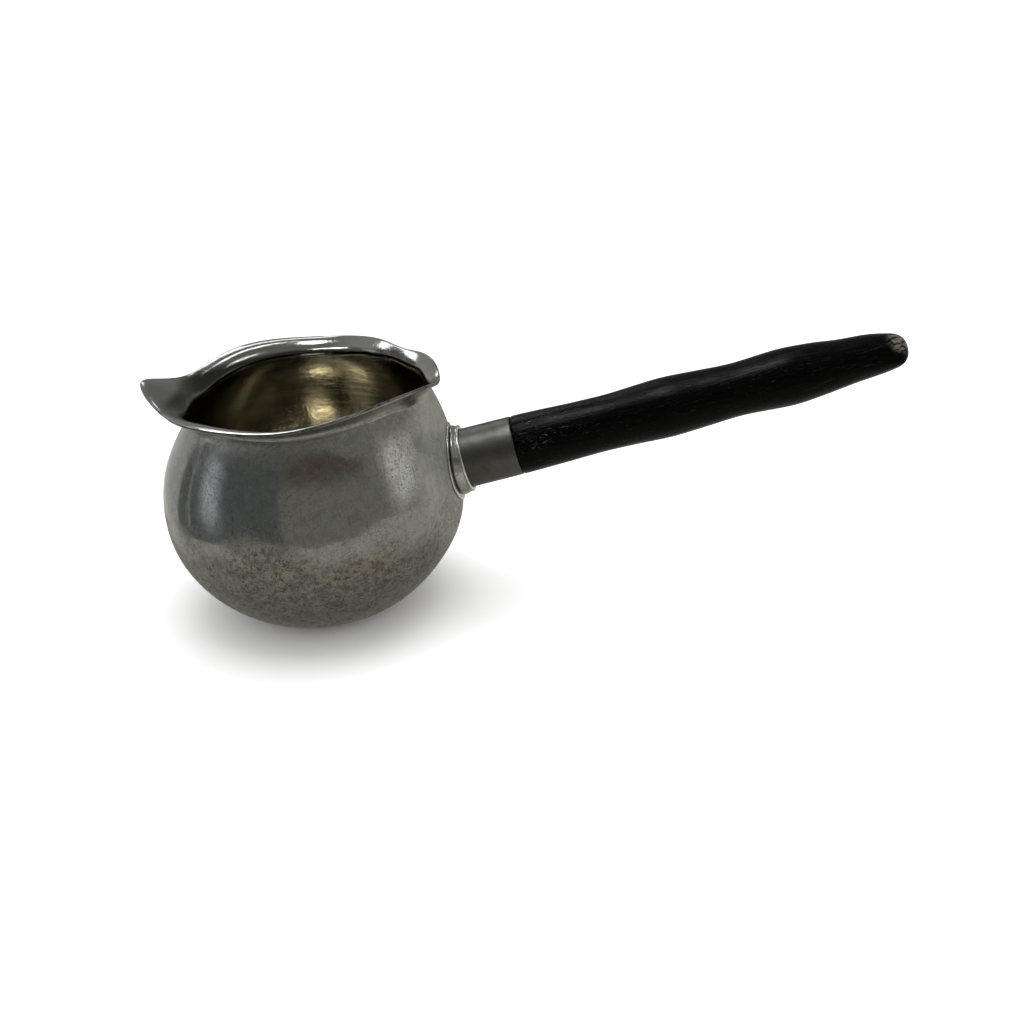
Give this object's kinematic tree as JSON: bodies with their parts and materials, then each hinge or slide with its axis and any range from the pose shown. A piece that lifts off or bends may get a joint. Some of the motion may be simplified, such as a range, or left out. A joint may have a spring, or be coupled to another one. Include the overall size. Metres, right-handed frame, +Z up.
{
  "type": "candle melting pot",
  "caption": "Small round-bellied metal pot with a wide pouring lip and a turned wooden side handle, for melting and pouring wax.",
  "frame": {"origin": "centre of the flat base, on the bowl's axis, at the level of the surface that it stands on", "axes": "+Z up along the bowl's axis; +X towards the handle, which rises 13.8 degrees above it; the pouring lip points along -X; the XZ plane is the plane of symmetry"},
  "size_m": [0.2189, 0.088, 0.0799],
  "materials": {
    "bowl_metal": "aged silver plate over brass: satin, spotted with tarnish, worn to a warm brass tint inside",
    "socket_metal": "satin plated metal with soft bright edges",
    "ferrule_metal": "satin plated metal with fine scratches and small pits",
    "grip_wood": "black stained and polished hardwood, scuffed, with bare wood at the worn tip",
    "brad_metal": "dark oxidised pin ends"
  },
  "bodies": {
    "root": {"bowl": "bowl_metal", "saddle_plate": "socket_metal", "socket_collar": "socket_metal", "ferrule": "ferrule_metal", "handle_grip": "grip_wood", "ferrule_brads": "brad_metal"}
  },
  "joints": []
}
